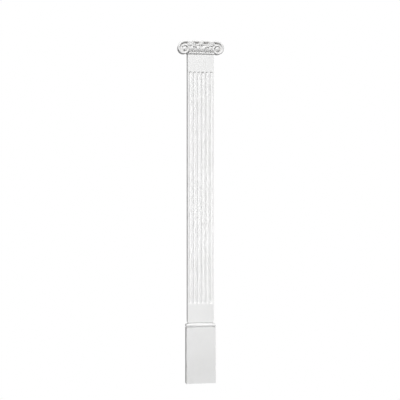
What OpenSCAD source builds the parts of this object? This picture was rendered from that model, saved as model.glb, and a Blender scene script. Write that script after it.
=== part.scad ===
// Fluted pilaster with an Ionic scroll capital and a moulded plinth block.
// +X runs to the right, +Y back to the wall and +Z up. The origin lies on the wall plane,
// at floor level, on the centre line, so the whole pilaster is at negative Y.

/* [Overall] */
// Height from the floor to the top of the capital
overall_h = 2286; // [1905:1:2743]

/* [Shaft] */
// Width of the shaft's face
shaft_w = 178; // [148:1:214]
// Depth of the shaft from the wall
shaft_d = 41; // [34:0.5:50]
// Number of flutes
flute_count = 6; // [4:1:6]
// Width of a flute at the face
flute_w = 20; // [14:0.5:24]
// Depth of a flute
flute_depth = 6.5; // [4:0.5:8]
// Plain length between the flutes and the capital
plain_top = 113; // [90:1:140]
// Plain length between the flutes and the plinth
plain_bottom = 121; // [90:1:150]

/* [Plinth] */
// Height of the plinth block with its cap moulding
plinth_h = 408; // [340:1:490]
// How far the plinth stands out past each side of the shaft
plinth_side_out = 10; // [8:0.5:14]
// How far the plinth stands in front of the shaft's face
plinth_front_out = 13; // [10:0.5:16]
// Height of the quirk between the block and the bead of the cap
quirk_h = 4; // [3:0.5:7]
// Diameter of the bead of the cap
bead_d = 19; // [15:0.5:24]
// How far the bead passes the faces of the block
bead_out = 1.3; // [0.5:0.1:2.5]
// Height of the cove between the bead and the shaft
cove_h = 11; // [8:0.5:14]
// How far the cove cuts in behind the sides of the shaft
cove_in = 8; // [3:0.5:9]

/* [Capital] */
// Height of the capital
capital_h = 92; // [76:0.5:111]
// Distance from the side of the shaft to the eye of a scroll
eye_outset = 22; // [18:0.5:26]
// Height of the foot of a scroll above the top of the shaft
scroll_gap = 1.25; // [0.5:0.25:3]
// Share of the spiral's radius that is left after a quarter turn
quarter_ratio = 0.825; // [0.81:0.005:0.84]
// Number of turns of a spiral
scroll_turns = 1.25; // [1:0.25:1.5]
// Share of the spiral's radius that its rim takes
rim_share = 0.27; // [0.22:0.01:0.32]
// How far the rims of the scrolls stand in front of the shaft's face
scroll_out = 17; // [14:0.5:22]
// Depth of the channel between the rims
channel_depth = 10; // [6:0.5:12]
// Radius of the ball that forms the eye of a scroll
eye_r = 13; // [10:0.5:14]
// How far the eye stands past the rims
eye_out = 3; // [1:0.5:5]
// Height of the fillet at the foot of the capital
foot_h = 3; // [2:0.5:6]
// How far the foot fillet stands past the faces of the shaft
foot_out = 2; // [0.5:0.5:4]
// Diameter of the astragal above the foot fillet
astragal_d = 11; // [9:0.5:13]
// How far the astragal stands past the foot fillet, at the front and at both sides
astragal_out = 6; // [6:0.5:9]
// How far the face of the echinus swells out in front of the shaft's face
echinus_out = 13; // [2:0.5:14]
// Thickness of the front plate of a scroll
plate_t = 12; // [9:0.5:16]
// Share of the spiral's outline that is left at the waist behind the plate
waist_share = 0.9; // [0.8:0.01:0.96]
// Number of eggs on the echinus
egg_count = 4; // [2:2:4]
// Width of an egg
egg_w = 24; // [18:0.5:29]
// Space between the foot of an egg and the astragal
egg_gap = 4; // [2:0.5:7]

/* [Leaves] */
// Number of lobes of the leaf beside each scroll
lobe_count = 4; // [3:1:5]
// Space between the longest lobe and the flower
leaf_gap = 4; // [2:0.5:8]
// How far the leaves and the flower stand past the rims
leaf_out = 2; // [1:0.5:3]
// Number of petals of the flower in the middle of the channel
petal_count = 5; // [3:1:7]
// Space between the tip of the middle petal and the top of the capital
petal_gap = 5.5; // [4:0.5:8]
// Radius of the button in the middle of the flower
button_r = 7; // [5:0.5:9]

/* [Hidden] */

// How far a solid runs into its neighbour, and a cut past a face
lap = 1;
// Step of the arcs and spirals that are drawn as polygons, in degrees
arc_step = 15;
// Number of cones in a seed
seed_steps = 6;
// Number of straight steps in the edge of a lobe
lobe_steps = 6;
// How far the root of a leaf runs in under the scroll
leaf_root = 4;

// Heights of the joints between the three pieces
capital_base = overall_h - capital_h;
shaft_h = capital_base - plinth_h;

// Flutes have equal lands between them and at both edges
land_w = (shaft_w - flute_count * flute_w) / (flute_count + 1);
flute_pitch = flute_w + land_w;
flute_r = (pow(flute_w / 2, 2) + pow(flute_depth, 2)) / (2 * flute_depth);
flute_axis_y = -shaft_d - flute_r + flute_depth;
flute_l = shaft_h - plain_top - plain_bottom;

// Plinth block and its cap
plinth_half = shaft_w / 2 + plinth_side_out;
plinth_d = shaft_d + plinth_front_out;
block_h = plinth_h - quirk_h - bead_d - cove_h;
bead_z = block_h + quirk_h + bead_d / 2;
bead_in = bead_d / 2 - bead_out;

// Scrolls, whose height above the eye and drop below it fill the capital
scroll_r = (capital_h - scroll_gap) / (1 + pow(quarter_ratio, 2));
eye_x = shaft_w / 2 + eye_outset;
eye_z = overall_h - scroll_r;
rim_d = shaft_d + scroll_out;
floor_d = rim_d - channel_depth;
inner_top_r = scroll_r * pow(quarter_ratio, 4);

// Echinus, from the astragal up to the lower rim of the channel
neck_half = shaft_w / 2 + foot_out;
neck_d = shaft_d + foot_out;
astragal_z = capital_base + foot_h + astragal_d / 2;
echinus_z = astragal_z + astragal_d / 2;
echinus_top = eye_z + inner_top_r * (1 - rim_share);
echinus_h = echinus_top - echinus_z;
echinus_half = eye_x - inner_top_r;

// Eggs share out the width between the scrolls, and lean in at the foot
egg_pitch = 2 * (eye_x - scroll_r * pow(quarter_ratio, 3)) / egg_count;
egg_l = echinus_h - egg_gap;
egg_lean = 4;
egg_d = rim_d - egg_w / 3;
dart_r = 4;

// Petals fan out about the foot of the flower
flower_z = echinus_top + inner_top_r * rim_share + button_r / 2;
petal_l = overall_h - petal_gap - flower_z;
flower_fan = 220;

// Leaves fan out from beside the scrolls, from level to nearly upright
leaf_l = echinus_half - petal_l - leaf_gap;
leaf_from = 192;
leaf_to = 120;
// Shares of the lobes' length and of their notches; the last lobe stays below the top
leaf_room = 4;
leaf_taper = 1 - min(0.5, (overall_h - echinus_top - leaf_room) / (leaf_l * sin(leaf_to)));
// Share of a lobe's length that the notches between the lobes cut away
notch_share = 0.22;

// Radius of a spiral at an angle turned from its top
function spiral_r(angle) = scroll_r * pow(quarter_ratio, angle / 90);

// Points of a spiral about the origin, at a share of its radius
function spiral(from, to, share) = [
    for (angle = [from:arc_step:to])
        spiral_r(angle) * share * [sin(angle), cos(angle)]
];

// Reversed copy of a list
function backwards(points) = [
    for (i = [len(points) - 1:-1:0]) points[i]
];

// Puts a drawing of the XY plane upright, facing the front, from the wall to a depth
module upright(depth, from = 0)
    translate([0, -from, 0])
        rotate([90, 0, 0])
            linear_extrude(depth - from) children();

// Solid of revolution along +Z, blunt and widest near its root and pointed at its tip
module seed(length, width)
    rotate_extrude($fn = 32)
        polygon([
            for (share = [0:1 / seed_steps:1])
                [width / 2 * sin(180 * pow(share, 0.75)), length * share]
        ]);

// Side of the plinth and its cap, from the floor up, at a distance from the middle
function side_points(half) = concat(
    [[half, 0], [half, block_h], [half - bead_in, block_h]],
    [
        for (angle = [-90:arc_step:90])
            [half - bead_in, bead_z] + bead_d / 2 * [cos(angle), sin(angle)]
    ],
    [
        for (angle = [arc_step:arc_step:180])
            [
                half - plinth_side_out - cove_in * sin(angle),
                plinth_h - cove_h * (1 + cos(angle)) / 2
            ]
    ]
);

// Side of the foot fillet and the astragal, from the foot of the capital up, at a distance
// from the middle
function neck_points(half) = concat(
    [[half, capital_base], [half, capital_base + foot_h]],
    [
        for (angle = [-90:arc_step:90])
            [half + astragal_out - astragal_d / 2, astragal_z]
                + astragal_d / 2 * [cos(angle), sin(angle)]
    ],
    [[half, echinus_z], [half, echinus_z + lap]]
);

module flute()
    translate([0, flute_axis_y, 0])
        rotate_extrude($fn = 96)
            intersection() {
                union() {
                    translate([0, flute_r])
                        square([flute_r, flute_l - 2 * flute_r]);
                    translate([0, flute_r])
                        circle(flute_r, $fn = 96);
                    translate([0, flute_l - flute_r])
                        circle(flute_r, $fn = 96);
                }
                square([flute_r + lap, flute_l]);
            }

module shaft() color("white")
    difference() {
        translate([-shaft_w / 2, -shaft_d, plinth_h])
            cube([shaft_w, shaft_d, shaft_h]);
        for (i = [0:flute_count - 1])
            translate([
                -shaft_w / 2 + land_w + flute_w / 2 + i * flute_pitch, 0,
                plinth_h + plain_bottom
            ])
                flute();
    }

module plinth() color("whitesmoke")
    intersection() {
        // Across the depth, with the moulding at both sides
        upright(plinth_d + bead_out + lap, -lap)
            polygon(concat(
                side_points(plinth_half),
                backwards([for (p = side_points(plinth_half)) [-p[0], p[1]]])
            ));
        // Across the width, with the moulding at the front
        translate([-plinth_half - bead_out - lap, 0, 0])
            rotate([90, 0, 90])
                linear_extrude(2 * (plinth_half + bead_out + lap))
                    polygon(concat(
                        [[0, 0]],
                        [for (p = side_points(plinth_d)) [-p[0], p[1]]],
                        [[0, plinth_h]]
                    ));
    }

// Drum of a scroll, from the wall to the floor of its channel, with a plate in front
module drum() {
    upright(floor_d)
        polygon(spiral(0, 360, waist_share));
    upright(floor_d, floor_d - plate_t)
        polygon(spiral(0, 360, 1));
}

// Rim of a scroll, as a band that winds in to the eye
module rim()
    upright(rim_d, floor_d - lap)
        polygon(concat(
            spiral(0, scroll_turns * 360, 1),
            backwards(spiral(0, scroll_turns * 360, 1 - rim_share))
        ));

module scroll()
    translate([eye_x, 0, eye_z]) {
        drum();
        rim();
        translate([0, eye_r - rim_d - eye_out, 0])
            sphere(eye_r, $fn = 48);
    }

// Channel that joins the two scrolls, with a rim above and below it
module canalis() {
    translate([-eye_x, -floor_d, echinus_top])
        cube([2 * eye_x, floor_d, overall_h - echinus_top]);
    for (top_r = [scroll_r, inner_top_r])
        translate([-eye_x, -rim_d, eye_z + top_r * (1 - rim_share)])
            cube([2 * eye_x, channel_depth + lap, top_r * rim_share]);
}

// Foot fillet and astragal, which turn the corners back to the wall
module necking()
    intersection() {
        // Across the depth, with the astragal at both sides
        upright(neck_d + astragal_out + lap, -lap)
            polygon(concat(
                neck_points(neck_half),
                backwards([for (p = neck_points(neck_half)) [-p[0], p[1]]])
            ));
        // Across the width, with the astragal at the front
        translate([-neck_half - astragal_out - lap, 0, 0])
            rotate([90, 0, 90])
                linear_extrude(2 * (neck_half + astragal_out + lap))
                    polygon(concat(
                        [[0, capital_base]],
                        [for (p = neck_points(neck_d)) [-p[0], p[1]]],
                        [[0, echinus_z + lap]]
                    ));
    }

// Quarter round that leans out from the astragal to the lower rim
module echinus()
    translate([-echinus_half, 0, 0])
        rotate([90, 0, 90])
            linear_extrude(2 * echinus_half)
                polygon(concat(
                    [[0, echinus_z - lap]],
                    [
                        for (angle = [0:arc_step:90])
                            [
                                -shaft_d - echinus_out * sin(angle),
                                echinus_top - echinus_h * cos(angle)
                            ]
                    ],
                    [[-shaft_d - echinus_out, echinus_top + lap]],
                    [[0, echinus_top + lap]]
                ));

// Eggs in a row on the echinus, with a dart between each pair
module egg_row() {
    for (i = [0:egg_count - 1])
        translate([(i - (egg_count - 1) / 2) * egg_pitch, -egg_d, echinus_top])
            rotate([180 + egg_lean, 0, 0])
                seed(egg_l, egg_w);
    for (i = [1:egg_count - 1])
        translate([(i - egg_count / 2) * egg_pitch, -egg_d, echinus_top])
            rotate([180 + egg_lean, 0, 0])
                cylinder(r1 = dart_r, r2 = dart_r / 4, h = egg_l, $fn = 24);
}

// Points of a fan of lobes about the origin, from one angle to another
function fan(lobes, radius, taper, from, to) = [
    for (i = [0:lobes * lobe_steps])
        let (
            share = i / (lobes * lobe_steps),
            angle = from + (to - from) * share,
            notch = notch_share * (1 - abs(sin(180 * share * lobes)))
        )
            radius * (1 - taper * share) * (1 - notch) * [cos(angle), sin(angle)]
];

// Leaf beside a scroll, whose lobes fan out towards the middle over the eggs
module leaf()
    translate([echinus_half, 0, echinus_top])
        upright(rim_d + leaf_out, floor_d - lap)
            polygon(concat(
                [[leaf_root, -leaf_root]],
                fan(lobe_count, leaf_l, leaf_taper, leaf_from, leaf_to),
                [[leaf_root, leaf_root]]
            ));

// Flower in the middle of the channel, with a button at the foot of its petals
module flower()
    translate([0, 0, flower_z]) {
        upright(rim_d + leaf_out, floor_d - lap)
            polygon(fan(petal_count, petal_l, 0, 90 - flower_fan / 2, 90 + flower_fan / 2));
        translate([0, -rim_d, 0])
            sphere(button_r, $fn = 32);
    }

module capital() color("whitesmoke") {
    for (side = [0, 1])
        mirror([side, 0, 0]) {
            scroll();
            leaf();
        }
    canalis();
    necking();
    echinus();
    egg_row();
    flower();
}

capital();
shaft();
plinth();
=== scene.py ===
# %% [markdown]
# # A fluted pilaster for the side of a doorway
#
# The real thing is three white mouldings of rigid foam, primed at the factory and glued to a
# wall: a plinth block, a flat fluted shaft and a carved scroll capital. This notebook rebuilds
# the looks of those three pieces around a model that already holds their true sizes. Places
# come from the boxes of the loaded pieces, and the sizes of the carving stand in the cells
# that use them.

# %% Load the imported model
import math

import bmesh
import bpy
from mathutils import Matrix, Vector


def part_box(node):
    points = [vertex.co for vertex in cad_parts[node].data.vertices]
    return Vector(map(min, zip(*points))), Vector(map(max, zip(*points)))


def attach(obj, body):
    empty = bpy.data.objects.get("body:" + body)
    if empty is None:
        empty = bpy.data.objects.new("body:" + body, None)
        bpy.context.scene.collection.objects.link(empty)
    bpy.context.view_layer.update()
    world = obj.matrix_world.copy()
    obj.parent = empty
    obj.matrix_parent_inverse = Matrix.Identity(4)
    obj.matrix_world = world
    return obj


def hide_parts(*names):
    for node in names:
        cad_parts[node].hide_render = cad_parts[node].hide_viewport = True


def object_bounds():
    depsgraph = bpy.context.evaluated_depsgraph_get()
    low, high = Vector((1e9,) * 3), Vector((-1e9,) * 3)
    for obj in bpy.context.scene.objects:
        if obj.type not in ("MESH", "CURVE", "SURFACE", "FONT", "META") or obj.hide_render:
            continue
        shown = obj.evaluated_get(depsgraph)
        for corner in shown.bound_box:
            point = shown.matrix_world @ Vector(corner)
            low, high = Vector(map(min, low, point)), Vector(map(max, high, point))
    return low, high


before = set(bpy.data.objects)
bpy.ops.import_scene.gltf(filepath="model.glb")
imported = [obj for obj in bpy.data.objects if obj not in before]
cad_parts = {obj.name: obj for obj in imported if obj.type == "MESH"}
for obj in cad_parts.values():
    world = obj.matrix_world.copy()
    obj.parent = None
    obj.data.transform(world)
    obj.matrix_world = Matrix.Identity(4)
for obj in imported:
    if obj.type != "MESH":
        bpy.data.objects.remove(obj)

cad_low, cad_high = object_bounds()
print("pieces:", sorted(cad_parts))
print("whole pilaster:", [round(side, 4) for side in cad_high - cad_low], "m")

# %% [markdown]
# ## Sizes that the pieces share
#
# A joiner would write down a few sizes before cutting anything. X runs to the right, Y runs
# back to the wall and Z runs up, so a depth in front of the wall is a negative Y. The boxes of
# the three pieces give the sizes that matter, and the rest of the notebook works from them.

# %% Read the sizes of the pieces
MM = 0.001
capital_low, capital_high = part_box("capital")
shaft_low, shaft_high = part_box("shaft")
plinth_low, plinth_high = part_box("plinth")

shaft_half = shaft_high.x
shaft_depth = -shaft_low.y
plinth_depth = -plinth_low.y
print("shaft:", round(2 * shaft_half, 4), "wide and", round(shaft_depth, 4), "deep")
print("plinth:", round(plinth_high.z, 4), "high")
print("capital:", round(capital_high.z - capital_low.z, 4), "high")

# %% [markdown]
# ## The camera
#
# A tall thin thing is best seen from far away through a long lens, so that its sides stay
# parallel. The camera stands a little to the left, level with the middle of the pilaster, and
# sees a sliver of each left side.

# %% Set up the camera
CAMERA_AZIMUTH = math.radians(-10.3)
CAMERA_DISTANCE = 7.0
CAMERA_RISE = 0.080
CAMERA_SIDE_STEP = -0.0055
FRAME_HEIGHT = 2.670
SENSOR = 36.0

middle = Vector((0, -shaft_depth, (cad_low.z + cad_high.z) / 2 + CAMERA_RISE))
towards_camera = Vector((math.sin(CAMERA_AZIMUTH), -math.cos(CAMERA_AZIMUTH), 0))
to_the_right = Vector((math.cos(CAMERA_AZIMUTH), math.sin(CAMERA_AZIMUTH), 0))

camera_data = bpy.data.cameras.new("Camera")
camera_data.sensor_width = SENSOR
camera_data.lens = SENSOR * CAMERA_DISTANCE / FRAME_HEIGHT
camera = bpy.data.objects.new("Camera", camera_data)
camera.location = middle + towards_camera * CAMERA_DISTANCE + to_the_right * CAMERA_SIDE_STEP
camera.rotation_euler = towards_camera.to_track_quat("Z", "Y").to_euler()
bpy.context.scene.collection.objects.link(camera)
bpy.context.scene.camera = camera
print("lens:", round(camera_data.lens, 1), "mm")

# %% [markdown]
# ## The floor and the white surround
#
# The pilaster stands on a plain pale floor against nothing. Floor and surround both look white
# to the camera, so no horizon line shows. To everything else the floor is a grey that returns
# some light, and the surround is dim, or the carving would wash out.

# %% Helper that shows one shader to the camera and another to the scene
def split_by_ray(tree, felt, seen, end):
    """Lets the camera see one shader while all other rays meet another."""
    ray = tree.nodes.new("ShaderNodeLightPath")
    choice = tree.nodes.new("ShaderNodeMixShader")
    tree.links.new(ray.outputs["Is Camera Ray"], choice.inputs["Fac"])
    tree.links.new(felt, choice.inputs[1])
    tree.links.new(seen, choice.inputs[2])
    tree.links.new(choice.outputs["Shader"], end.inputs["Surface"])


WHITE = (1, 1, 1, 1)
print("camera rays see", WHITE)

# %% Lay the floor
FLOOR_SIZE = 30.0
FLOOR_GREY = 0.5

floor_mesh = bpy.data.meshes.new("Floor")
reach = FLOOR_SIZE / 2
floor_corners = [(-reach, -reach, 0), (reach, -reach, 0), (reach, reach, 0), (-reach, reach, 0)]
floor_mesh.from_pydata(floor_corners, [], [(0, 1, 2, 3)])
floor = bpy.data.objects.new("Floor", floor_mesh)
bpy.context.scene.collection.objects.link(floor)

floor_paint = bpy.data.materials.new("Floor paint")
floor_paint.use_nodes = True
floor_tree = floor_paint.node_tree
floor_shader = floor_tree.nodes["Principled BSDF"]
floor_shader.inputs["Base Color"].default_value = (FLOOR_GREY, FLOOR_GREY, FLOOR_GREY, 1)
floor_shader.inputs["Roughness"].default_value = 0.9
floor_white = floor_tree.nodes.new("ShaderNodeEmission")
floor_white.inputs["Color"].default_value = WHITE
split_by_ray(
    floor_tree, floor_shader.outputs["BSDF"], floor_white.outputs["Emission"],
    floor_tree.nodes["Material Output"],
)
floor_mesh.materials.append(floor_paint)
print("floor:", FLOOR_SIZE, "m wide")

# %% Light the surround
SURROUND_LIGHT = 0.15

world = bpy.data.worlds.new("Surround")
world.use_nodes = True
bpy.context.scene.world = world
sky = world.node_tree
seen = sky.nodes["Background"]
seen.inputs["Color"].default_value = WHITE
felt = sky.nodes.new("ShaderNodeBackground")
felt.inputs["Color"].default_value = WHITE
felt.inputs["Strength"].default_value = SURROUND_LIGHT
split_by_ray(
    sky, felt.outputs["Background"], seen.outputs["Background"], sky.nodes["World Output"],
)
bpy.context.scene.view_settings.view_transform = "Standard"
print("surround lights the pieces at", SURROUND_LIGHT)

# %% [markdown]
# ## Studio lights
#
# A small soft box hangs high in front, a little to the left of the camera. It brings out the
# carving: each flute gets a thin shaded wall on its left, and the rims and the echinus throw
# shadows downwards. A broad, weak panel low by the camera fills the shadows near the floor.

# %% Hang the lights
def soft_box(name, azimuth, height, distance, size, power, aim_height, spread):
    """A square area light round the pilaster, turned towards a height on its face."""
    data = bpy.data.lights.new(name, "AREA")
    data.size = size
    data.energy = power
    data.spread = math.radians(spread)
    light = bpy.data.objects.new(name, data)
    angle = math.radians(azimuth)
    light.location = (distance * math.sin(angle), -distance * math.cos(angle), height)
    aim = Vector((0, -shaft_depth, aim_height)) - light.location
    light.rotation_euler = aim.to_track_quat("-Z", "Y").to_euler()
    bpy.context.scene.collection.objects.link(light)
    return light


soft_box(
    "Key", azimuth=-18, height=5.4, distance=3.3, size=0.6,
    power=236, aim_height=1.8, spread=180,
)
soft_box(
    "Panel", azimuth=-8, height=1.2, distance=3.0, size=1.2,
    power=6.3, aim_height=0.65, spread=70,
)

# %% [markdown]
# ## Tools for building node trees
#
# Geometry Nodes and shaders are both trees of nodes, and both are built the same way: start a
# tree, name its sockets, place nodes and feed them. A few small helpers keep the later cells
# short. `place` takes the feeds of a node as a dictionary, where a value may be a number or
# the output of an earlier node.

# %% Helpers for trees
def new_tree(name, kind, inputs, outputs):
    """Starts a node group with named inputs and outputs and returns it with its two ends."""
    tree = bpy.data.node_groups.new(name, kind)
    for label, socket_kind in inputs:
        tree.interface.new_socket(label, in_out="INPUT", socket_type="NodeSocket" + socket_kind)
    for label, socket_kind in outputs:
        tree.interface.new_socket(label, in_out="OUTPUT", socket_type="NodeSocket" + socket_kind)
    start = tree.nodes.new("NodeGroupInput")
    end = tree.nodes.new("NodeGroupOutput")
    return tree, start.outputs, end.inputs


def place(tree, kind, feeds, **choices):
    """Places a node, makes its choices and feeds its inputs with values or with outputs."""
    node = tree.nodes.new(kind)
    for name, choice in choices.items():
        setattr(node, name, choice)
    for key, feed in feeds.items():
        if isinstance(feed, bpy.types.NodeSocket):
            tree.links.new(feed, node.inputs[key])
        else:
            node.inputs[key].default_value = feed
    return node


def maths(tree, operation, first, second=0.0):
    """One step of arithmetic between two values or outputs."""
    return place(tree, "ShaderNodeMath", {0: first, 1: second}, operation=operation).outputs[0]


def mix_colours(tree, share, first, second):
    """Blend of two colours. A Mix node's colour sockets come after its other ones."""
    mix = place(tree, "ShaderNodeMix", {0: share, 6: first, 7: second}, data_type="RGBA")
    return mix.outputs[2]


def close_tree(tree, geometry, finish, result):
    """Ends a geometry tree: copies become real mesh and take their material."""
    solid = place(tree, "GeometryNodeRealizeInstances", {"Geometry": geometry})
    painted = place(tree, "GeometryNodeSetMaterial", {
        "Geometry": solid.outputs["Geometry"], "Material": finish,
    })
    tree.links.new(painted.outputs["Geometry"], result["Geometry"])
    return tree


print("helpers ready")

# %% [markdown]
# ## Finish: sprayed primer
#
# The mouldings leave the factory under a thin coat of white primer. Close up it isn't perfectly
# even. The spray leaves a fine pebbled skin, the coat is a little thinner in some places, and
# its sheen changes with it. Two shader groups hold those effects, and a third paints shade into
# hollows, so that each material can use them at its own strength.

# %% Shader group for the pebbled skin of a sprayed coat
def spray_skin_group():
    """Height of a sprayed coat: fine pebbles on long, shallow waves."""
    tree, given, result = new_tree(
        "Spray skin", "ShaderNodeTree",
        [
            ("Vector", "Vector"), ("Pebble scale", "Float"),
            ("Wave scale", "Float"), ("Wave share", "Float"),
        ],
        [("Height", "Float")],
    )
    pebbles = place(tree, "ShaderNodeTexNoise", {
        "Vector": given["Vector"], "Scale": given["Pebble scale"],
        "Detail": 3.0, "Roughness": 0.55,
    }).outputs["Fac"]
    waves = place(tree, "ShaderNodeTexNoise", {
        "Vector": given["Vector"], "Scale": given["Wave scale"],
        "Detail": 2.0, "Roughness": 0.4,
    }).outputs["Fac"]
    lifted = maths(tree, "MULTIPLY", waves, given["Wave share"])
    tree.links.new(maths(tree, "ADD", pebbles, lifted), result["Height"])
    return tree


spray_skin = spray_skin_group()
print("group:", spray_skin.name)


# %% Shader group for the uneven thickness of the coat
def coat_mottle_group():
    """Colour and sheen of a coat whose thickness wanders slowly over the surface."""
    tree, given, result = new_tree(
        "Coat mottle", "ShaderNodeTree",
        [
            ("Vector", "Vector"), ("Scale", "Float"),
            ("Thin colour", "Color"), ("Full colour", "Color"),
            ("Dull", "Float"), ("Sheen", "Float"),
        ],
        [("Colour", "Color"), ("Roughness", "Float")],
    )
    broad = place(tree, "ShaderNodeTexNoise", {
        "Vector": given["Vector"], "Scale": given["Scale"], "Detail": 5.0, "Roughness": 0.6,
    }).outputs["Fac"]
    spread = place(tree, "ShaderNodeMapRange", {
        "Value": broad, "From Min": 0.32, "From Max": 0.68,
    }).outputs["Result"]
    colour = mix_colours(tree, spread, given["Thin colour"], given["Full colour"])
    tree.links.new(colour, result["Colour"])
    sheen = place(tree, "ShaderNodeMapRange", {
        "Value": spread, "To Min": given["Dull"], "To Max": given["Sheen"],
    }).outputs["Result"]
    tree.links.new(sheen, result["Roughness"])
    return tree


coat_mottle = coat_mottle_group()
print("group:", coat_mottle.name)


# %% Shader group that paints shade into hollows
def painted_shade_group():
    """Paints shade where a measured hollow is deep, broken up by a fine noise."""
    tree, given, result = new_tree(
        "Hollow tone", "ShaderNodeTree",
        [
            ("Vector", "Vector"), ("Colour", "Color"), ("Hollow colour", "Color"),
            ("Hollow", "Float"), ("Strength", "Float"),
        ],
        [("Colour", "Color")],
    )
    grain = place(tree, "ShaderNodeTexNoise", {
        "Vector": given["Vector"], "Scale": 260.0, "Detail": 3.0,
    }).outputs["Fac"]
    broken = place(tree, "ShaderNodeMapRange", {
        "Value": grain, "To Min": 0.7, "To Max": 1.3,
    }).outputs["Result"]
    amount = maths(tree, "MULTIPLY", given["Hollow"], broken)
    amount = place(
        tree, "ShaderNodeMath",
        {0: amount, 1: given["Strength"]}, operation="MULTIPLY", use_clamp=True,
    ).outputs[0]
    blend = mix_colours(tree, amount, given["Colour"], given["Hollow colour"])
    tree.links.new(blend, result["Colour"])
    return tree


painted_shade_tone = painted_shade_group()
print("group:", painted_shade_tone.name)

# %% [markdown]
# ## Two primed finishes
#
# The shaft and the plinth come out of smooth moulds, so their coat is even, with faint waves.
# The capital is carved, and its material also paints shade into its hollows from the
# `hollow` value that is measured on the mesh further down.

# %% Primed materials
# Grey of the painted shade in the capital's hollows
PAINTED_SHADE_COLOUR = (0.42, 0.41, 0.395, 1)


def use_group(tree, group, feeds):
    """Places a shader group in a material and feeds it."""
    return place(tree, "ShaderNodeGroup", feeds, node_tree=group).outputs


def primed(name, thin, full, pebble_scale, skin_depth, paints_hollow_shade):
    """White primer with its own mottle, and skin depth in metres; it may paint shade into hollows.
    """
    material = bpy.data.materials.new(name)
    material.use_nodes = True
    tree = material.node_tree
    shader = tree.nodes["Principled BSDF"]
    where = tree.nodes.new("ShaderNodeTexCoord").outputs["Object"]
    mottle = use_group(tree, coat_mottle, {
        "Vector": where, "Scale": 9.0,
        "Thin colour": (*thin, 1), "Full colour": (*full, 1),
        "Dull": 0.62, "Sheen": 0.48,
    })
    colour = mottle["Colour"]
    # Painted shade: the measured hollows darken the coat towards a grey
    if paints_hollow_shade:
        hollow = tree.nodes.new("ShaderNodeAttribute")
        hollow.attribute_name = "hollow"
        colour = use_group(tree, painted_shade_tone, {
            "Vector": where, "Colour": colour, "Hollow colour": PAINTED_SHADE_COLOUR,
            "Hollow": hollow.outputs["Fac"], "Strength": 0.6,
        })["Colour"]
    skin = use_group(tree, spray_skin, {
        "Vector": where, "Pebble scale": pebble_scale, "Wave scale": 14.0, "Wave share": 1.5,
    })
    bump = place(tree, "ShaderNodeBump", {
        "Height": skin["Height"], "Distance": skin_depth, "Strength": 1.0,
    })
    tree.links.new(colour, shader.inputs["Base Color"])
    tree.links.new(mottle["Roughness"], shader.inputs["Roughness"])
    tree.links.new(bump.outputs["Normal"], shader.inputs["Normal"])
    shader.inputs["Specular IOR Level"].default_value = 0.4
    return material


smooth_primer = primed(
    "Smooth primer", thin=(0.80, 0.80, 0.795), full=(0.83, 0.83, 0.828),
    pebble_scale=700.0, skin_depth=0.00008, paints_hollow_shade=False,
)
carved_primer_painted_shade = primed(
    "Carved primer", thin=(0.79, 0.79, 0.785), full=(0.82, 0.82, 0.818),
    pebble_scale=850.0, skin_depth=0.00006, paints_hollow_shade=True,
)
print("materials:", smooth_primer.name, "and", carved_primer_painted_shade.name)

# %% [markdown]
# ## From a tree or a modifier to a plain mesh
#
# Everything that a modifier grows has to end as plain mesh. `harvest` reads the finished shape
# off an object and throws the modifiers away. `grow` starts from nothing and lets a Geometry
# Nodes tree make the mesh.

# %% Helpers that turn rules into meshes
def link_new(name, mesh):
    """Links a new object with this mesh to the scene."""
    item = bpy.data.objects.new(name, mesh)
    bpy.context.scene.collection.objects.link(item)
    return item


def harvest(item):
    """Replaces an object's mesh by what its modifiers make of it, and drops them."""
    depsgraph = bpy.context.evaluated_depsgraph_get()
    finished = bpy.data.meshes.new_from_object(
        item.evaluated_get(depsgraph), preserve_all_data_layers=True, depsgraph=depsgraph,
    )
    item.modifiers.clear()
    item.data = finished
    return item


def grow(name, tree, values):
    """Runs a Geometry Nodes tree with these input values and returns a plain object."""
    item = link_new(name, bpy.data.meshes.new(name))
    modifier = item.modifiers.new("Rule", "NODES")
    modifier.node_group = tree
    for socket in tree.interface.items_tree:
        if socket.in_out == "INPUT":
            modifier[socket.identifier] = values[socket.name]
    return harvest(item)


def discard(*items):
    """Removes helper objects that a finished piece no longer needs."""
    for item in items:
        bpy.data.objects.remove(item)


def loft(name, rings):
    """Closed solid through rings of points, with a flat cap at each end."""
    shape = bmesh.new()
    rows = [[shape.verts.new(point) for point in ring] for ring in rings]
    for lower, upper in zip(rows, rows[1:]):
        for i in range(len(lower)):
            j = (i + 1) % len(lower)
            shape.faces.new((lower[i], lower[j], upper[j], upper[i]))
    shape.faces.new(rows[0][::-1])
    shape.faces.new(rows[-1])
    bmesh.ops.recalc_face_normals(shape, faces=shape.faces)
    mesh = bpy.data.meshes.new(name)
    shape.to_mesh(mesh)
    shape.free()
    return link_new(name, mesh)


def block(name, low, high):
    """Box between two corners."""
    outline = [(low[0], low[1]), (high[0], low[1]), (high[0], high[1]), (low[0], high[1])]
    return loft(name, [[(x, y, z) for x, y in outline] for z in (low[2], high[2])])


print("mesh helpers ready")

# %% [markdown]
# ## Softened edges
#
# No edge of a foam moulding is sharp. The mould rounds it a little and the primer rounds it
# more. A Bevel modifier rolls every edge that turns by more than a set angle, and a Weighted
# Normal modifier keeps the broad flat faces looking flat beside it.

# %% Helper that softens the edges of a moulded piece
EDGE_ANGLE = math.radians(28)


def soften(item, roll):
    """Rolls the edges of a moulding to a radius and smooths its curved faces."""
    bevel = item.modifiers.new("Rolled edges", "BEVEL")
    bevel.width = roll
    bevel.segments = 3
    bevel.limit_method = "ANGLE"
    bevel.angle_limit = EDGE_ANGLE
    bevel.miter_outer = "MITER_ARC"
    for face in item.data.polygons:
        face.use_smooth = True
    normals = item.modifiers.new("Flat faces", "WEIGHTED_NORMAL")
    normals.weight = 80
    return harvest(item)


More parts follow.
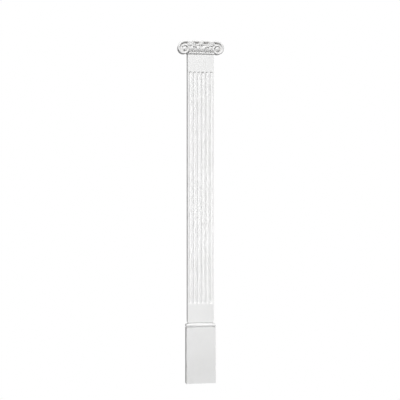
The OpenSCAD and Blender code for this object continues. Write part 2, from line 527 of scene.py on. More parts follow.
def finish_piece(item, material, node):
    """Gives a piece its material, hides the imported piece it replaces, and hangs it on the root.
    """
    item.data.materials.clear()
    item.data.materials.append(material)
    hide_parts(node)
    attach(item, "root")
    triangles = sum(len(face.vertices) - 2 for face in item.data.polygons)
    print(item.name, "has", triangles, "triangles")


print("edges that turn more than", round(math.degrees(EDGE_ANGLE)), "degrees are rolled")

# %% [markdown]
# ## The shaft
#
# The shaft is a flat board with a row of flutes between two plain ends. A flute is the path of
# a round-nosed cutter: a long hollow that ends in a quarter ball. So the cutter is modelled
# once, as a rod with two ball ends, and a Geometry Nodes tree sets out a row of them and cuts
# them all from the board. Changing one number in the tree changes the whole row.

# %% Sizes of the flutes
FLUTE_COUNT = 6
FLUTE_WIDTH = 20 * MM
FLUTE_DEPTH = 6.5 * MM
PLAIN_TOP = 113 * MM
PLAIN_BOTTOM = 121 * MM

land = (2 * shaft_half - FLUTE_COUNT * FLUTE_WIDTH) / (FLUTE_COUNT + 1)
cutter_radius = ((FLUTE_WIDTH / 2) ** 2 + FLUTE_DEPTH ** 2) / (2 * FLUTE_DEPTH)
print("lands:", round(land / MM, 2), "mm, cutter radius:", round(cutter_radius / MM, 2), "mm")


# %% Make the cutter
def full_turn(steps):
    """Angles at equal steps round a circle."""
    return [2 * math.pi * step / steps for step in range(steps)]


def ball_nosed_rod(name, radius, depth, foot, tip, sides=72, nose_steps=18):
    """Upright rod with ball ends, from a foot to a tip, with its axis at a depth."""
    quarter = [math.pi / 2 * step / nose_steps for step in range(1, nose_steps)]
    lower = [(radius * math.sin(a), foot + radius * (1 - math.cos(a))) for a in quarter]
    side = [(radius, foot + radius), (radius, tip - radius)]
    upper = [(r, foot + tip - z) for r, z in reversed(lower)]
    rings = []
    for r, z in lower + side + upper:
        rings.append([(r * math.sin(a), depth - r * math.cos(a), z) for a in full_turn(sides)])
    return loft(name, rings)


cutter = ball_nosed_rod(
    "Flute cutter", cutter_radius, shaft_low.y - cutter_radius + FLUTE_DEPTH,
    shaft_low.z + PLAIN_BOTTOM, shaft_high.z - PLAIN_TOP,
)
board = block("Board", shaft_low, shaft_high)
print("cutter:", [round(side, 4) for side in cutter.dimensions], "m")


# %% Tree that cuts a row of flutes
def centred_row(tree, shape, count, pitch):
    """Copies of an object in a row along X, with the middle of the row at zero."""
    gaps = maths(tree, "SUBTRACT", count, 1.0)
    half_row = maths(tree, "MULTIPLY", maths(tree, "MULTIPLY", gaps, pitch), -0.5)
    row = place(tree, "GeometryNodeMeshLine", {
        "Count": count,
        "Start Location": place(tree, "ShaderNodeCombineXYZ", {"X": half_row}).outputs[0],
        "Offset": place(tree, "ShaderNodeCombineXYZ", {"X": pitch}).outputs[0],
    })
    source = place(tree, "GeometryNodeObjectInfo", {"Object": shape})
    return place(tree, "GeometryNodeInstanceOnPoints", {
        "Points": row.outputs["Mesh"], "Instance": source.outputs["Geometry"],
    }).outputs["Instances"]


def flute_row_tree():
    """Cuts a row of one cutter's shape out of a board."""
    tree, given, result = new_tree(
        "Row of flutes", "GeometryNodeTree",
        [
            ("Board", "Object"), ("Cutter", "Object"), ("Count", "Int"),
            ("Pitch", "Float"), ("Finish", "Material"),
        ],
        [("Geometry", "Geometry")],
    )
    tools = centred_row(tree, given["Cutter"], given["Count"], given["Pitch"])
    cuts = place(tree, "GeometryNodeRealizeInstances", {"Geometry": tools})
    board_in = place(tree, "GeometryNodeObjectInfo", {"Object": given["Board"]})
    cut = place(
        tree, "GeometryNodeMeshBoolean",
        {"Mesh 1": board_in.outputs["Geometry"], "Mesh 2": cuts.outputs["Geometry"]},
        operation="DIFFERENCE", solver="EXACT",
    )
    return close_tree(tree, cut.outputs["Mesh"], given["Finish"], result)


shaft = grow("Shaft", flute_row_tree(), {
    "Board": board, "Cutter": cutter, "Count": FLUTE_COUNT,
    "Pitch": FLUTE_WIDTH + land, "Finish": smooth_primer,
})
discard(board, cutter)
print("faces after cutting:", len(shaft.data.polygons))

# %% Soften the shaft and put it in its place
SHAFT_ROLL = 0.9 * MM
soften(shaft, SHAFT_ROLL)
finish_piece(shaft, smooth_primer, "shaft")

# %% [markdown]
# ## The plinth
#
# The plinth is a plain block under a small cap moulding: a quirk, a bead and a cove. A real
# moulding like this is run as one profile and turned round the corners with mitres. So the
# profile is drawn once, as distances out and heights, and each of its points becomes a ring
# round three sides of the plinth. The back stays flat against the wall.

# %% Sizes of the cap moulding
QUIRK_HEIGHT = 4 * MM
BEAD_WIDTH = 19 * MM
BEAD_OUT = 1.3 * MM
COVE_HEIGHT = 11 * MM
COVE_IN = 8 * MM
BEAD_STEPS = 24
COVE_STEPS = 14

plinth_half = plinth_high.x - BEAD_OUT
plinth_face = plinth_depth - BEAD_OUT
side_out = plinth_half - shaft_half
block_top = plinth_high.z - QUIRK_HEIGHT - BEAD_WIDTH - COVE_HEIGHT
print("block:", round(2 * plinth_half, 4), "wide and", round(block_top, 4), "high under its cap")


# %% Draw the profile and turn it round the plinth
def cap_profile():
    """(distance past the block's faces, height) of the plinth's side, from the floor up."""
    bead_centre = BEAD_OUT - BEAD_WIDTH / 2
    bead_height = block_top + QUIRK_HEIGHT + BEAD_WIDTH / 2
    points = [(0, 0), (0, block_top), (bead_centre, block_top)]
    for step in range(BEAD_STEPS + 1):
        angle = math.pi * (step / BEAD_STEPS - 0.5)
        out = bead_centre + BEAD_WIDTH / 2 * math.cos(angle)
        points.append((out, bead_height + BEAD_WIDTH / 2 * math.sin(angle)))
    for step in range(1, COVE_STEPS + 1):
        angle = math.pi * step / COVE_STEPS
        rise = COVE_HEIGHT * (1 - math.cos(angle)) / 2
        points.append((-side_out - COVE_IN * math.sin(angle), plinth_high.z - COVE_HEIGHT + rise))
    return points


def mitred(name, profile, half, depth):
    """Turns a profile round the front and both sides of a block with a flat back."""
    rings = []
    for out, height in profile:
        x, y = half + out, -depth - out
        rings.append([(-x, 0, height), (-x, y, height), (x, y, height), (x, 0, height)])
    return loft(name, rings)


plinth = mitred("Plinth", cap_profile(), plinth_half, plinth_face)
print("rings in the plinth:", len(plinth.data.vertices) // 4)

# %% Soften the plinth and put it in its place
PLINTH_ROLL = 0.9 * MM
soften(plinth, PLINTH_ROLL)
finish_piece(plinth, smooth_primer, "plinth")

# %% [markdown]
# ## The capital, drawn flat on the bench
#
# A carver draws a capital flat and then carves it lying on the bench, so that's how it is built
# here. X runs to the right, Y runs up the drawing, Z runs out towards the carver, and a unit is
# a millimetre. The scrolls fill the drawing from top to bottom. Each winds in at a fixed ratio
# for every quarter turn, and that ratio fixes the places of their eyes.

# %% Sizes of the capital
QUARTER_RATIO = 0.825
SCROLL_GAP = 1.25
SCROLL_TURNS = 1.22
RIM_SHARE = 0.27
RIM_FRONT = 58.0
CHANNEL_DEPTH = 10.0
FOOT_HEIGHT = 3.0
FOOT_OUT = 2.0
ASTRAGAL_RADIUS = 5.5
ASTRAGAL_OUT = 6.0
STRING_RADIUS = 3.4
ECHINUS_OUT = 13.0

capital_top = (capital_high.z - capital_low.z) / MM
neck_face = shaft_depth / MM
scroll_radius = (capital_top - SCROLL_GAP) / (1 + QUARTER_RATIO ** 2)
eye_x = capital_high.x / MM - scroll_radius * QUARTER_RATIO
eye_y = capital_top - scroll_radius
channel_floor = RIM_FRONT - CHANNEL_DEPTH
inner_radius = scroll_radius * QUARTER_RATIO ** 4
neck_half = shaft_half / MM + FOOT_OUT
echinus_foot = FOOT_HEIGHT + 2 * ASTRAGAL_RADIUS
echinus_top = eye_y + inner_radius * (1 - RIM_SHARE)
echinus_half = eye_x - inner_radius
print("scroll radius:", round(scroll_radius, 1), "mm")
print("eyes at", round(eye_x, 1), "and", round(eye_y, 1), "mm")


# %% Rule of the spiral
def spiral_radius(angle):
    """Radius of the scroll at an angle turned from its top."""
    return scroll_radius * QUARTER_RATIO ** (angle / (math.pi / 2))


def spiral_outline(share, side, steps=96):
    """One turn of the scroll about its eye, at a share of its size."""
    points = []
    for step in range(steps + 1):
        angle = 2 * math.pi * step / steps
        radius = spiral_radius(angle) * share
        points.append((side * (eye_x + radius * math.sin(angle)), eye_y + radius * math.cos(angle)))
    return points


turns = [0, 0.25, 0.5, 0.75, 1]
print("radius by quarter turns:", [round(spiral_radius(2 * math.pi * turn), 1) for turn in turns])

# %% [markdown]
# ## The body behind the carving
#
# Behind the carving stand the plain masses that carry it: the block of the channel between the
# scrolls, the rounded echinus below it, the neck with its astragal, and the two drums. A drum
# narrows to a waist behind its front plate, like a rolled cushion tied with a cord.

# %% Cast the channel block, the echinus and the neck
def along_x(name, outline, half):
    """Solid with one (y, z) outline, from one side of the middle to the other."""
    return loft(name, [[(x, y, z) for y, z in outline] for x in (-half, half)])


def echinus_depth(height):
    """Depth of the rounded face of the echinus at a height of the drawing."""
    down = (echinus_top - height) / (echinus_top - echinus_foot)
    return neck_face + ECHINUS_OUT * math.sqrt(max(0.0, 1 - down * down))


# Shapes that meet run this far into each other
EDGE_SINK = 2.0
FACE_STEPS = 20
STRING_STEPS = 24

channel = block(
    "Channel", (-eye_x, echinus_top - EDGE_SINK, 0), (eye_x, capital_top, channel_floor),
)
below, above = echinus_foot - EDGE_SINK, echinus_top + EDGE_SINK
echinus_outline = [(below, 0), (below, neck_face)]
for step in range(FACE_STEPS + 1):
    rise = (echinus_top - echinus_foot) * (step / FACE_STEPS) ** 1.5
    echinus_outline.append((echinus_foot + rise, echinus_depth(echinus_foot + rise)))
echinus_outline += [(above, neck_face + ECHINUS_OUT), (above, 0)]
echinus = along_x("Echinus", echinus_outline, echinus_half)
rod_height = FOOT_HEIGHT + ASTRAGAL_RADIUS
string_out = ASTRAGAL_OUT - ASTRAGAL_RADIUS


def neck_profile():
    """(distance past the foot fillet, height) of the neck's side, from its foot up."""
    points = [(0, 0), (0, rod_height - STRING_RADIUS)]
    for step in range(STRING_STEPS + 1):
        angle = math.pi * (step / STRING_STEPS - 0.5)
        height = rod_height + STRING_RADIUS * math.sin(angle)
        points.append((string_out + STRING_RADIUS * math.cos(angle), height))
    return points + [(0, points[-1][1]), (0, echinus_foot + 1)]


# The helper of the plinth stands things upright, so its work is laid down on the bench
neck = mitred("Neck", neck_profile(), neck_half, neck_face + FOOT_OUT)
neck.data.transform(Matrix.Rotation(-math.pi / 2, 4, "X"))
print("echinus from", echinus_foot, "to", round(echinus_top, 1), "mm")

# %% Turn the drums of the scrolls
# Depth in front of the wall and share of the spiral's size, from the back to the front plate
DRUM_SIDE = [
    (0, 0.95), (7, 0.95), (9, 0.925), (14, 0.905), (22, 0.885), (29, 0.9), (32, 0.92),
    (33, 0.945), (37, 0.945), (38, 0.96), (40, 0.985), (43, 1.0),
]


def drum(side):
    """Drum of a scroll with a waist behind its front plate."""
    rings = []
    for depth, share in DRUM_SIDE + [(channel_floor, 1.0)]:
        rings.append([(x, y, depth) for x, y in spiral_outline(share, side)])
    return loft("Drum", rings)


drums = [drum(-1), drum(1)]
print("drums narrow to", min(share for depth, share in DRUM_SIDE), "of their size")

# %% [markdown]
# ## The winding rim
#
# One raised rim runs along the top of the channel and winds into both scrolls. Its width
# shrinks with the spiral, and its height stays the same until it sinks beside the eye. A
# Geometry Nodes tree bends a flat grid into this shape. One side of the grid runs along the rim
# and the other runs round its section, which a Float Curve draws.

# %% Section of the rim
# Share of the way across the rim from its outer edge, and share of its full height
RIM_SECTION = [
    (0.0, 0.0), (0.03, 0.5), (0.1, 0.76), (0.16, 0.8), (0.2, 0.7), (0.25, 0.8), (0.4, 0.98),
    (0.6, 1.0), (0.8, 0.93), (0.92, 0.76), (0.98, 0.45), (1.0, 0.0),
]


def draw_curve(node, points):
    """Draws a Float Curve through a list of points."""
    curve = node.mapping.curves[0]
    for extra in range(len(points) - 2):
        curve.points.new(0.5, 0.5)
    for point, place_at in zip(curve.points, points):
        point.location = place_at
        point.handle_type = "VECTOR"
    node.mapping.update()


print("points in the section:", len(RIM_SECTION))


# %% Tree of the winding rim
RIM_STEPS = 1200
SECTION_STEPS = 60
RIM_ROOT = 0.3
RIM_FADE = 0.9


def winding_rim_tree():
    """Bends a grid into a rim that winds into two scrolls."""
    tree, given, result = new_tree(
        "Winding rim", "GeometryNodeTree",
        [
            ("Radius", "Float"), ("Quarter ratio", "Float"), ("Turn", "Float"),
            ("Straight", "Float"), ("Share", "Float"), ("Eye X", "Float"), ("Eye Y", "Float"),
            ("Floor", "Float"), ("Height", "Float"), ("Finish", "Material"),
        ],
        [("Geometry", "Geometry")],
    )
    grid = place(tree, "GeometryNodeMeshGrid", {
        "Size X": 2.0, "Size Y": 1.0,
        "Vertices X": RIM_STEPS + 1, "Vertices Y": SECTION_STEPS + 1,
    })
    position = place(tree, "GeometryNodeInputPosition", {})
    here = place(tree, "ShaderNodeSeparateXYZ", {0: position.outputs[0]})
    side = maths(tree, "SIGN", here.outputs["X"])
    along = maths(tree, "ABSOLUTE", here.outputs["X"])
    around = maths(tree, "ADD", here.outputs["Y"], 0.5)

    # The straight part comes first, and the rest of the way turns about the eye
    reach = maths(tree, "MINIMUM", maths(tree, "DIVIDE", along, given["Straight"]), 1.0)
    wound = maths(tree, "MAXIMUM", maths(tree, "SUBTRACT", along, given["Straight"]), 0.0)
    wound = maths(tree, "DIVIDE", wound, maths(tree, "SUBTRACT", 1.0, given["Straight"]))
    angle = maths(tree, "MULTIPLY", wound, given["Turn"])
    quarters = maths(tree, "DIVIDE", angle, math.pi / 2)
    shrink = maths(tree, "POWER", given["Quarter ratio"], quarters)
    radius = maths(tree, "MULTIPLY", given["Radius"], shrink)

    # Across the rim and back underneath it
    across = maths(tree, "MULTIPLY", maths(tree, "PINGPONG", around, 0.5), 2.0)
    section = place(tree, "ShaderNodeFloatCurve", {"Value": across})
    draw_curve(section, RIM_SECTION)
    under = maths(tree, "GREATER_THAN", around, 0.5)
    rise = place(tree, "GeometryNodeSwitch", {
        "Switch": under, "False": section.outputs["Value"], "True": -RIM_ROOT,
    }, input_type="FLOAT").outputs[0]
    sink = place(tree, "ShaderNodeMapRange", {
        "Value": wound, "From Min": RIM_FADE, "From Max": 1.0, "To Min": 1.0, "To Max": 0.0,
    }).outputs["Result"]

    width = maths(tree, "MULTIPLY", given["Share"], maths(tree, "SQRT", sink))
    inward = maths(tree, "SUBTRACT", 1.0, maths(tree, "MULTIPLY", width, across))
    radius = maths(tree, "MULTIPLY", radius, inward)
    x = maths(tree, "MULTIPLY", radius, maths(tree, "SINE", angle))
    x = maths(tree, "ADD", x, maths(tree, "MULTIPLY", reach, given["Eye X"]))
    x = maths(tree, "MULTIPLY", x, side)
    y = maths(tree, "MULTIPLY", radius, maths(tree, "COSINE", angle))
    y = maths(tree, "ADD", y, given["Eye Y"])
    z = maths(tree, "MULTIPLY", maths(tree, "MULTIPLY", rise, sink), given["Height"])
    z = maths(tree, "ADD", z, given["Floor"])

    there = place(tree, "ShaderNodeCombineXYZ", {"X": x, "Y": y, "Z": z})
    bent = place(tree, "GeometryNodeSetPosition", {
        "Geometry": grid.outputs["Mesh"], "Position": there.outputs[0],
    })
    closed = place(tree, "GeometryNodeMergeByDistance", {
        "Geometry": bent.outputs[0], "Distance": 0.002,
    })
    return close_tree(tree, closed.outputs[0], given["Finish"], result)


spiral_turn = 2 * math.pi * SCROLL_TURNS
spiral_step = spiral_turn / 100
spiral_length = sum(spiral_radius(spiral_step * step) for step in range(100)) * spiral_step
winding_rim = grow("Winding rim", winding_rim_tree(), {
    "Radius": scroll_radius, "Quarter ratio": QUARTER_RATIO, "Turn": spiral_turn,
    "Straight": eye_x / (eye_x + spiral_length), "Share": RIM_SHARE,
    "Eye X": eye_x, "Eye Y": eye_y, "Floor": channel_floor, "Height": CHANNEL_DEPTH,
    "Finish": carved_primer_painted_shade,
})
print("rim:", [round(side) for side in winding_rim.dimensions], "mm")

# %% [markdown]
# ## The lower rim and the eyes
#
# The lower rim of the channel runs between the scrolls and meets the top of their inner turns.
# The eyes are domes in a ring, and stand a little past the rims.

# %% Shape the lower rim and the eyes
LOWER_RIM_STEPS = 16
LOWER_RIM_SHARE = 0.9
RIM_SINK = 3.0
EYE_SIDE = [
    (13.2, -4.0), (13.2, 6.5), (12.8, 8.0), (11.8, 8.8), (10.8, 8.2), (10.2, 6.8),
    (9.6, 8.6), (8.7, 10.4), (7.0, 11.7), (5.0, 12.5), (2.5, 13.0), (0.6, 13.1),
]


def turned(name, side_profile, centre, steps=64):
    """Solid of revolution about Z through a centre, from (radius, height) points."""
    rings = []
    for radius, height in side_profile:
        rings.append([
            (
                centre[0] + radius * math.cos(angle),
                centre[1] + radius * math.sin(angle),
                centre[2] + height,
            )
            for angle in full_turn(steps)
        ])
    return loft(name, rings)


rim_width = inner_radius * RIM_SHARE
lower_outline = [(echinus_top, channel_floor - RIM_SINK)]
for step in range(LOWER_RIM_STEPS + 1):
    angle = math.pi * step / LOWER_RIM_STEPS
    across = rim_width * (1 - math.cos(angle)) / 2
    swell = CHANNEL_DEPTH * LOWER_RIM_SHARE * math.sqrt(math.sin(angle) + 0.0001)
    lower_outline.append((echinus_top + across, channel_floor + swell))
lower_outline.append((echinus_top + rim_width, channel_floor - RIM_SINK))
lower_rim = along_x("Lower rim", lower_outline, eye_x - RIM_SINK)
eyes = [turned("Eye", EYE_SIDE, (side * eye_x, eye_y, channel_floor)) for side in (-1, 1)]
print("lower rim is", round(rim_width, 1), "mm wide")

# %% [markdown]
# ## Eggs and darts
#
# The classic ornament of an echinus is a row of eggs, each in a shell, with darts between them.
# One egg, one shell and one dart are shaped, and a Geometry Nodes tree repeats each of them.

# %% Shape one egg, one shell and one dart
EGG_COUNT = 4
EGG_WIDTH = 23.0
EGG_GAP = 4.0
EGG_LEAN = math.radians(4)
SHELL_HALF = 15.4
SHELL_BEAD = 2.3
DART_WIDTH = 6.4
egg_pitch = 2 * (eye_x - scroll_radius * QUARTER_RATIO ** 3) / EGG_COUNT
egg_length = echinus_top - echinus_foot - EGG_GAP
egg_depth = RIM_FRONT - EGG_WIDTH / 3


def seed(name, width, length, depth, fullness, rows_down=33):
    """Seed that hangs from the lower rim and leans in at its foot; a full one is rounder."""
    rings = []
    for step in range(1, rows_down):
        share = step / rows_down
        radius = width / 2 * math.sin(math.pi * share ** 0.75) ** (1 / fullness)
        y = -length * share
        rings.append([(radius * math.cos(a), y, radius * math.sin(a)) for a in full_turn(48)])
    item = loft(name, rings)
    lean = Matrix.Translation((0, echinus_top, depth)) @ Matrix.Rotation(EGG_LEAN, 4, "X")
    item.data.transform(lean)
    return item


def shell(name, half, bead, steps=48):
    """Bead that runs down one side of an egg, under it and up the other side."""
    tip, shoulder, middle_y = echinus_top + EDGE_SINK, echinus_top - 6, echinus_top - 16
    drop = middle_y - echinus_foot - 1.5
    path = [(-half, tip), (-half, shoulder)]
    for step in range(steps + 1):
        angle = math.pi * step / steps
        path.append((-half * math.cos(angle), middle_y - drop * math.sin(angle) ** 0.9))
    path += [(half, shoulder), (half, tip)]
    rings = []
    for i, (x, y) in enumerate(path):
        before, after = path[max(i - 1, 0)], path[min(i + 1, len(path) - 1)]
        run = Vector((after[0] - before[0], after[1] - before[1])).normalized()
        across = Vector((-run.y, run.x, 0)) * bead
        outwards = Vector((0, 0, 1.25)) * bead
        centre = Vector((x, y, echinus_depth(y) + 0.6))
        rings.append([
            centre + across * math.cos(a) + outwards * math.sin(a) for a in full_turn(16)
        ])
    return loft(name, rings)


egg = seed("Egg", EGG_WIDTH, egg_length, egg_depth, fullness=1.7)
egg_shell = shell("Shell", SHELL_HALF, SHELL_BEAD)
dart = seed("Dart", DART_WIDTH, egg_length + 1, egg_depth + 1.5, fullness=0.9)
print("egg pitch:", round(egg_pitch, 2), "mm, egg length:", round(egg_length, 1), "mm")


# %% Tree that repeats a shape in a row
def row_tree():
    """Repeats one object in a centred row along X."""
    tree, given, result = new_tree(
        "Row", "GeometryNodeTree",
        [("Shape", "Object"), ("Count", "Int"), ("Pitch", "Float"), ("Finish", "Material")],
        [("Geometry", "Geometry")],
    )
    copies = centred_row(tree, given["Shape"], given["Count"], given["Pitch"])
    return close_tree(tree, copies, given["Finish"], result)


row_rule = row_tree()
rows = []
for shape, count in ((egg, EGG_COUNT), (egg_shell, EGG_COUNT), (dart, EGG_COUNT - 1)):
    rows.append(grow(shape.name + " row", row_rule, {
        "Shape": shape, "Count": count, "Pitch": egg_pitch, "Finish": carved_primer_painted_shade,
    }))
discard(egg, egg_shell, dart)
print("rows:", [row.name for row in rows])

# %% [markdown]
# ## Bead and reel
#
# The astragal is a string of beads with a thin reel between each pair. It turns both corners
# back to the wall. One bead is turned on the lathe, and the same row tree threads it three
# times: along the front and along each side.

# %% Thread the beads of the astragal
BEAD_PITCH = 11.4
BEAD_HALF = 4.4
BEAD_HOLE = 0.58
# Half a reel stands at each end of a bead: (radius, place along the string)
REEL_SIDE = [(3.2, 4.7), (4.4, 5.1), (4.4, 5.7)]

bead_side = [(radius, -along) for radius, along in reversed(REEL_SIDE)]
for step in range(1, STRING_STEPS):
    angle = math.pi * (step / STRING_STEPS - 0.5)
    radius = ASTRAGAL_RADIUS * max(BEAD_HOLE, math.cos(angle))
    bead_side.append((radius, BEAD_HALF * math.sin(angle)))
bead_side += REEL_SIDE

front_depth = neck_face + FOOT_OUT + string_out
side_place = neck_half + string_out
front_beads = int(2 * side_place / BEAD_PITCH) // 2 * 2 + 1
side_beads = int(front_depth / BEAD_PITCH)
bead = turned("Bead", bead_side, (0, 0, 0), steps=32)
bead.data.transform(Matrix.Rotation(math.pi / 2, 4, "Y"))
threads = []
for count, turn, centre in (
    (front_beads, 0.0, (0, rod_height, front_depth)),
    (side_beads, math.pi / 2, (side_place, rod_height, front_depth / 2)),
    (side_beads, math.pi / 2, (-side_place, rod_height, front_depth / 2)),
):
    thread = grow("Thread", row_rule, {
        "Shape": bead, "Count": count, "Pitch": BEAD_PITCH, "Finish": carved_primer_painted_shade,
    })
    thread.data.transform(Matrix.Translation(centre) @ Matrix.Rotation(turn, 4, "Y"))
    threads.append(thread)
discard(bead)
print("beads:", front_beads, "along the front and", side_beads, "on each side")

# %% [markdown]
# ## Leaves and flower
#
# A half leaf springs from the inner corner of each scroll, and a small flower stands in the
# middle of the channel. Both are fans of one lobe. A lobe is a tongue with a groove down its
# middle and a tip that bends, so it is shaped once, and a tree turns and shrinks the copies.

# %% Shape a lobe
LOBE_STEPS = 28
ACROSS_STEPS = 20
TIP_FROM = 0.86
BEND_POWER = 2.2
GROOVE_DEPTH = 0.42
GROOVE_WIDTH = 0.27


def lobe(name, length, width, height, bend):
    """Grooved tongue along X, from a narrow root to a bent, rounded tip."""
    rings = []
    for step in range(LOBE_STEPS + 1):
        share = step / LOBE_STEPS
        half = width / 2 * (0.2 + 0.8 * math.sin(math.pi * min(1.0, 0.1 + 0.84 * share ** 1.1)))
        if share > TIP_FROM:
            half *= math.sqrt(max(0.02, 1 - ((share - TIP_FROM) / (1 - TIP_FROM)) ** 2))
        crest = height * (0.62 + 0.38 * math.sin(math.pi * min(1.0, share ** 1.4)))
        x = length * share
        y = bend * length * share ** BEND_POWER
        slope = math.atan(BEND_POWER * bend * share ** (BEND_POWER - 1))
        over_x, over_y = -half * math.sin(slope), half * math.cos(slope)
        ring = []
        for k in range(ACROSS_STEPS + 1):
            v = -1 + 2 * k / ACROSS_STEPS
            bulge = math.sqrt(max(0.0, 1 - v ** 4))
            groove = GROOVE_DEPTH * math.exp(-((v / GROOVE_WIDTH) ** 2))
            ring.append((x + over_x * v, y + over_y * v, crest * bulge * (1 - groove)))
        ring += [(x + over_x, y + over_y, -RIM_SINK), (x - over_x, y - over_y, -RIM_SINK)]
        rings.append(ring)
    return loft(name, rings)


leaf_lobe = lobe("Leaf lobe", length=68.0, width=20.0, height=11.5, bend=0.36)
petal = lobe("Petal", length=23.0, width=13.5, height=12.0, bend=0.0)
print("leaf lobe:", [round(side, 1) for side in leaf_lobe.dimensions], "mm")


# %% Tree of a fan
def fan_tree():
    """Turns copies of a lobe about its root, and shrinks them from the first to the last."""
    tree, given, result = new_tree(
        "Fan", "GeometryNodeTree",
        [
            ("Lobe", "Object"), ("Count", "Int"), ("First angle", "Float"), ("Last angle", "Float"),
            ("Last size", "Float"), ("Root", "Vector"), ("Finish", "Material"),
        ],
        [("Geometry", "Geometry")],
    )
    points = place(tree, "GeometryNodeMeshLine", {
        "Count": given["Count"], "Start Location": given["Root"], "Offset": (0.0, 0.0, 0.0),
    })
    gaps = maths(tree, "SUBTRACT", given["Count"], 1.0)
    share = maths(tree, "DIVIDE", place(tree, "GeometryNodeInputIndex", {}).outputs[0], gaps)
    angle = place(tree, "ShaderNodeMapRange", {
        "Value": share, "To Min": given["First angle"], "To Max": given["Last angle"],
    }).outputs["Result"]
    size = place(tree, "ShaderNodeMapRange", {
        "Value": share, "To Min": 1.0, "To Max": given["Last size"],
    }).outputs["Result"]
    shape = place(tree, "GeometryNodeObjectInfo", {"Object": given["Lobe"]})
    copies = place(tree, "GeometryNodeInstanceOnPoints", {
        "Points": points.outputs["Mesh"], "Instance": shape.outputs["Geometry"],
        "Rotation": place(tree, "ShaderNodeCombineXYZ", {"Z": angle}).outputs[0],
        "Scale": place(tree, "ShaderNodeCombineXYZ", {"X": size, "Y": size, "Z": 1.0}).outputs[0],
    })
    return close_tree(tree, copies.outputs["Instances"], given["Finish"], result)


fan_rule = fan_tree()
print("tree:", fan_rule.name)

# %% Grow the leaves
LEAF_LOBES = 4
LEAF_FROM = math.radians(176)
LEAF_TO = math.radians(122)
LEAF_LAST_SIZE = 0.46
LEAF_IN = 8.0
LEAF_RAISE = 3.5

leaf_root = (echinus_half + LEAF_IN, echinus_top + LEAF_IN, channel_floor + LEAF_RAISE)
right_leaf = grow("Right leaf", fan_rule, {
    "Lobe": leaf_lobe, "Count": LEAF_LOBES, "First angle": LEAF_FROM, "Last angle": LEAF_TO,
    "Last size": LEAF_LAST_SIZE, "Root": leaf_root, "Finish": carved_primer_painted_shade,
})
left_leaf = link_new("Left leaf", right_leaf.data.copy())
left_leaf.data.transform(Matrix.Scale(-1, 4, (1, 0, 0)))
discard(leaf_lobe)
print("leaf:", [round(side) for side in right_leaf.dimensions], "mm")

# %% Grow the flower and turn its button
PETALS = 5
PETAL_FROM = math.radians(-8)
PETAL_TO = math.radians(188)
FLOWER_RAISE = 3.5
BUTTON_RADIUS = 7.0
BUTTON_CENTRE = 10.0

flower_y = echinus_top + rim_width + FLOWER_RAISE
flower = grow("Flower", fan_rule, {
    "Lobe": petal, "Count": PETALS, "First angle": PETAL_FROM, "Last angle": PETAL_TO,
    "Last size": 1.0, "Root": (0, flower_y, channel_floor), "Finish": carved_primer_painted_shade,
})
button_side = []
for step in range(-12, 16):
    rise = BUTTON_CENTRE + BUTTON_RADIUS * math.sin(step / 10)
    button_side.append((BUTTON_RADIUS * math.cos(step / 10), rise))
button = turned("Button", button_side, (0, flower_y, channel_floor))
discard(petal)
print("flower:", [round(side) for side in flower.dimensions], "mm")

# %% [markdown]
# ## One casting
#
# On the real capital all this is one casting, with soft joints between its forms. A voxel
# remesh fuses the shapes into one skin, a few smoothing passes soften it as primer does, and a
# Decimate modifier drops the facets that flat faces don't need. Then the drawing stands up.

# %% Fuse the shapes and stand the capital up
VOXEL = 0.62
SMOOTHING = 3
TRIANGLES = 185000
BACK_SNAP = 0.4


def fused(name, parts):
    """One mesh through all of these closed shapes."""
    mixed = bmesh.new()
    for part in parts:
        mixed.from_mesh(part.data)
    bmesh.ops.triangulate(mixed, faces=mixed.faces)
    mesh = bpy.data.meshes.new(name)
    mixed.to_mesh(mesh)
    mixed.free()
    discard(*parts)
    item = link_new(name, mesh)
    skin = item.modifiers.new("Skin", "REMESH")
    skin.mode = "VOXEL"
    skin.voxel_size = VOXEL
    skin.use_smooth_shade = True
    soft = item.modifiers.new("Soft", "SMOOTH")
    soft.factor = 0.5
    soft.iterations = SMOOTHING
    return harvest(item)


shapes = [channel, echinus, neck, winding_rim, lower_rim, right_leaf, left_leaf, flower, button]
capital = fused("Capital", shapes + drums + eyes + rows + threads)
print("facets after fusing:", len(capital.data.polygons))

fewer = capital.modifiers.new("Fewer facets", "DECIMATE")
fewer.ratio = min(1.0, TRIANGLES / (2 * len(capital.data.polygons)))
harvest(capital)
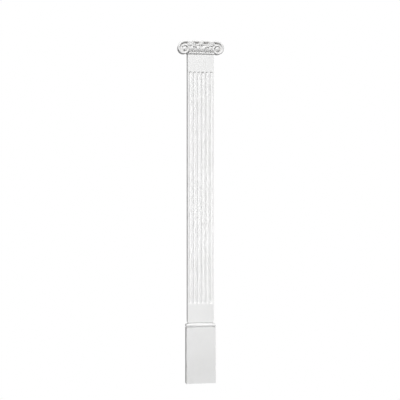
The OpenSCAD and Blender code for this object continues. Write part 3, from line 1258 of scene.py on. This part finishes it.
# The smoothed back, foot and top are pressed flat again
for vertex in capital.data.vertices:
    if vertex.co.z < BACK_SNAP:
        vertex.co.z = 0.0
    vertex.co.y = min(max(vertex.co.y, 0.0), capital_top)

upright = Matrix.Rotation(math.pi / 2, 4, "X") @ Matrix.Scale(MM, 4)
capital.data.transform(Matrix.Translation((0, 0, capital_low.z)) @ upright)
print("capital:", [round(side, 4) for side in capital.dimensions], "m")

# %% [markdown]
# ## Where shade is painted into hollows
#
# The capital's material darkens its hollows as painted shade. How hollow each point is can be
# measured on the mesh itself, from how far its neighbours stand in front of it. A few rounds of
# averaging widen the marks, and a hollow as deep as `HOLLOW_FULL` millimetres counts in full.

# %% Measure the hollows
import numpy as np

HOLLOW_ROUNDS = 5
HOLLOW_FULL = 0.3


def measure_hollows(mesh):
    """Stores a value from 0 to 1 at each vertex: how deep it lies among its neighbours."""
    count = len(mesh.vertices)
    places = np.empty(count * 3)
    mesh.vertices.foreach_get("co", places)
    places = places.reshape(count, 3)
    facing = np.empty(count * 3)
    mesh.vertices.foreach_get("normal", facing)
    facing = facing.reshape(count, 3)
    pairs = np.empty(len(mesh.edges) * 2, dtype=np.int64)
    mesh.edges.foreach_get("vertices", pairs)
    ends = pairs.reshape(-1, 2)
    degree = np.bincount(pairs, minlength=count)

    def average(values):
        """Average of each vertex's neighbours."""
        total = np.bincount(ends[:, 0], weights=values[ends[:, 1]], minlength=count)
        total += np.bincount(ends[:, 1], weights=values[ends[:, 0]], minlength=count)
        return total / np.maximum(degree, 1)

    smooth = places.copy()
    for turn in range(HOLLOW_ROUNDS):
        smooth = np.stack([average(smooth[:, axis]) for axis in range(3)], axis=1)
    depth = np.sum((smooth - places) * facing, axis=1)
    depth = average(average(depth)) / (HOLLOW_FULL * MM)
    # The capital's material paints shade from this value
    hollow = mesh.attributes.new("hollow", "FLOAT", "POINT")
    hollow.data.foreach_set("value", np.clip(depth, 0, 1).astype(np.float32))
    return float(np.mean(depth > 0.5))


print("share of hollow points:", round(measure_hollows(capital.data), 3))
finish_piece(capital, carved_primer_painted_shade, "capital")
